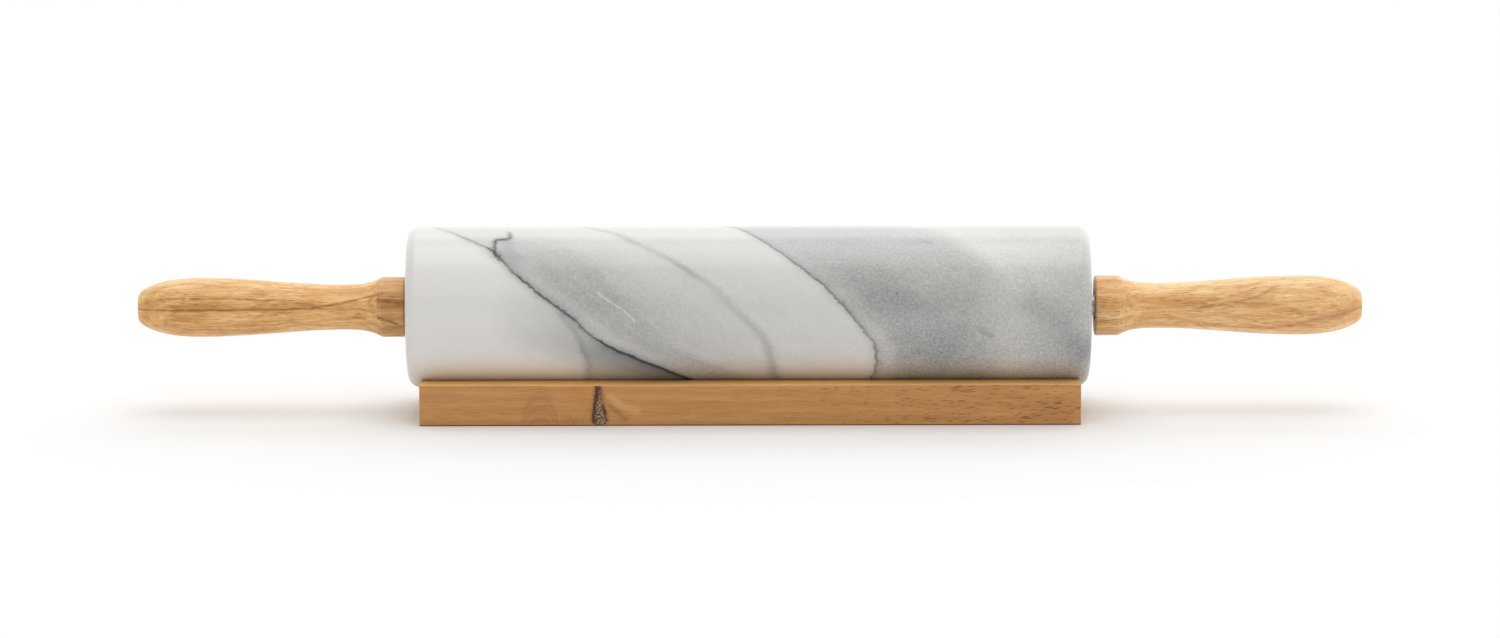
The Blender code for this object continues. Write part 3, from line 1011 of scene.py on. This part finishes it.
def build_cradle(material):
    """Board with eased edges and a round groove, lofted along its length from its profile."""
    low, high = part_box("cradle")
    groove = 30.3 * MM
    lip = 0.4 * MM
    top_ease = 0.35 * MM
    foot_ease = 0.4 * MM
    end_ease = 0.4 * MM
    reach = math.sqrt(groove**2 - (AXIS_HEIGHT - high.z) ** 2)
    edge = math.degrees(math.asin((AXIS_HEIGHT - high.z) / groove) + lip / groove)
    profile = [
        *arc(low.y + foot_ease, low.z + foot_ease, foot_ease, 270, 180, BOARD_EDGE_STEPS),
        *arc(low.y + top_ease, high.z - top_ease, top_ease, 180, 90, BOARD_EDGE_STEPS),
        (-reach - lip, high.z),
        *arc(0.0, AXIS_HEIGHT, groove, 180 + edge, 360 - edge, GROOVE_STEPS),
        (reach + lip, high.z),
        *arc(high.y - top_ease, high.z - top_ease, top_ease, 90, 0, BOARD_EDGE_STEPS),
        *arc(high.y - foot_ease, low.z + foot_ease, foot_ease, 0, -90, BOARD_EDGE_STEPS),
    ]
    stations = []
    for away, inset in arc(end_ease, end_ease, end_ease, 180, 270, BOARD_EDGE_STEPS):
        stations.append((low.x + away, inset))
    stations += [(low.x + high.x - x, inset) for x, inset in reversed(stations)]

    verts = []
    for x, inset in stations:
        verts += [(x, y, z) for y, z in inset_profile(profile, inset)]
    size = len(profile)
    faces = [tuple(reversed(range(size)))]
    for row in range(len(stations) - 1):
        here = row * size
        there = here + size
        for step in range(size):
            after = (step + 1) % size
            faces.append((here + step, here + after, there + after, there + step))
    faces.append(tuple(range(len(verts) - size, len(verts))))
    board = link_mesh("cradle_board", verts, faces, material)
    mesh = bmesh.new()
    mesh.from_mesh(board.data)
    bmesh.ops.recalc_face_normals(mesh, faces=mesh.faces)
    mesh.to_mesh(board.data)
    mesh.free()
    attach(board, "cradle")
    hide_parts("cradle")


def inset_profile(profile, inset):
    """The closed profile moved inwards by inset."""
    if inset < TINY:
        return profile
    moved = []
    size = len(profile)
    for index in range(size):
        before = Vector(profile[index - 1])
        here = Vector(profile[index])
        after = Vector(profile[(index + 1) % size])
        onward = (here - before).normalized() + (after - here).normalized()
        along = onward.normalized()
        inward = Vector((along.y, -along.x))
        moved.append(tuple(here + inward * inset))
    return moved


# ---------------------------------------------------------------------------------------
# Stage, light and camera
# ---------------------------------------------------------------------------------------


FLOOR_HALF = 40.0
FLOOR_TONES = ((0.88, 0.88, 0.88), (0.90, 0.90, 0.90))


def build_floor():
    """Large plain white floor, all but even in tone."""
    g = new_material("floor")
    point = g.place()
    speck = g.noise(point, (900, 900, 900), 2.0)
    color = g.blend(g.fade(speck, -0.5, 0.5), *FLOOR_TONES)
    g.shader.inputs["Specular IOR Level"].default_value = 0.0
    g.feed(g.shader.inputs["Base Color"], color)
    g.shader.inputs["Roughness"].default_value = 1.0
    corners = ((-1, -1), (1, -1), (1, 1), (-1, 1))
    verts = [(x * FLOOR_HALF, y * FLOOR_HALF, 0.0) for x, y in corners]
    mesh = bpy.data.meshes.new("floor")
    mesh.from_pydata(verts, [], [(0, 1, 2, 3)])
    mesh.materials.append(g.owner)
    floor = bpy.data.objects.new("floor", mesh)
    bpy.context.scene.collection.objects.link(floor)


# Area lights: (name, elevation, (width, depth), power, colour). The elevation is in degrees
# from the front, over the top, to the back.
AREA_LIGHTS = (
    ("overhead", 90.0, (3.0, 2.6), 41.5, (0.985, 1.0, 1.015)),
    ("back", 131.0, (2.8, 1.2), 9.0, (0.98, 1.0, 1.02)),
)
LIGHT_DISTANCE = 3.6


def add_area_light(name, elevation, size, power, color):
    """Soft light aimed at the pin."""
    data = bpy.data.lights.new(name, "AREA")
    data.shape = "RECTANGLE"
    data.size, data.size_y = size
    data.energy = power
    data.color = color
    light = bpy.data.objects.new(name, data)
    bpy.context.scene.collection.objects.link(light)
    rise = math.radians(elevation)
    out = Vector((0.0, -math.cos(rise), math.sin(rise)))
    light.location = Vector((0.0, 0.0, AXIS_HEIGHT)) + out * LIGHT_DISTANCE
    light.rotation_euler = (-out).to_track_quat("-Z", "Y").to_euler()
    light.visible_camera = False


# Soft surroundings: (direction the light comes from, how tight, strength, colour)
GLOWS = (
    ((0.0, 1.0, 0.0), 1.0, 0.98, (1.0, 1.0, 1.0)),
    ((1.0, 0.0, 0.0), 1.0, 0.80, (1.0, 0.99, 0.97)),
    ((-1.0, 0.0, 0.0), 1.0, 0.32, (1.0, 0.99, 0.97)),
    ((0.0, 0.2, 1.0), 4.0, 0.22, (0.985, 1.0, 1.02)),
    ((0.0, -0.66, 0.75), 6.0, 0.72, (1.0, 0.94, 0.86)),
)
EVEN_GLOW = 0.19


def build_lights():
    """White surroundings, brighter behind and above, and two soft area lights."""
    world = bpy.data.worlds.new("surroundings")
    g = Graph(world)
    direction = g.tree.nodes.new("ShaderNodeTexCoord").outputs["Generated"]
    total = g.combine(EVEN_GLOW, EVEN_GLOW, EVEN_GLOW)
    for axis, tightness, strength, color in GLOWS:
        facing = g.add(
            "ShaderNodeVectorMath",
            {0: direction, 1: Vector(axis).normalized()},
            operation="DOT_PRODUCT",
        )
        share = g.math("MAXIMUM", facing.outputs["Value"], 0.0)
        level = g.times(g.math("POWER", share, tightness), strength)
        glow = g.add("ShaderNodeVectorMath", {0: color, "Scale": level}, operation="SCALE")
        total = g.shift(total, glow.outputs[0])
    g.feed(g.tree.nodes["Background"].inputs["Color"], total)
    bpy.context.scene.world = world
    for light in AREA_LIGHTS:
        add_area_light(*light)


def build_camera():
    """Camera at the photograph's angle, distance and framing."""
    data = bpy.data.cameras.new("camera")
    data.lens = CAMERA_LENS
    data.sensor_width = 36.0
    data.clip_start = 0.05
    data.clip_end = 50.0
    camera = bpy.data.objects.new("camera", data)
    bpy.context.scene.collection.objects.link(camera)
    rise = math.radians(CAMERA_ELEVATION)
    place = Vector(
        (
            0.0,
            -CAMERA_DISTANCE * math.cos(rise),
            AXIS_HEIGHT + CAMERA_DISTANCE * math.sin(rise),
        )
    )
    pitch = math.radians(90.0 - CAMERA_ELEVATION - AIM_BELOW_AXIS)
    camera.matrix_world = (
        Matrix.Translation(place)
        @ Matrix.Rotation(pitch, 4, "X")
        @ Matrix.Rotation(math.radians(CAMERA_ROLL), 4, "Z")
    )
    bpy.context.scene.camera = camera


def set_view():
    """Plain colour handling, so that the white floor stays white."""
    bpy.context.scene.view_settings.view_transform = "Standard"


def dress_fittings(frame):
    """Materials for the steel and nylon parts, which keep their CAD shapes."""
    steel = steel_material()
    nylon = nylon_material()
    for name, node in frame["nodes"].items():
        if name.startswith(("bushing", "thrust_washer")):
            material = nylon
        elif name.startswith(("axle_rod", "handle_insert")):
            material = steel
        else:
            continue
        for slot in node.material_slots:
            slot.material = material


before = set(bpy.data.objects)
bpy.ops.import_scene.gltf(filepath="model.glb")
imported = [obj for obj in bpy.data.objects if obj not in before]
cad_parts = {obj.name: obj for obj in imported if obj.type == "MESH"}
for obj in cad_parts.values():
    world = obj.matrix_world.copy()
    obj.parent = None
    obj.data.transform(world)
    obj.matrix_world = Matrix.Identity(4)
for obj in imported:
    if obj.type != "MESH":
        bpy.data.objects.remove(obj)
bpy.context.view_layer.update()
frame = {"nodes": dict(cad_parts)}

build_camera()
set_view()
build_floor()
build_lights()
build_barrel(marble_material())
build_handle("left", handle_material("left"))
build_handle("right", handle_material("right"))
build_cradle(cradle_material())
dress_fittings(frame)
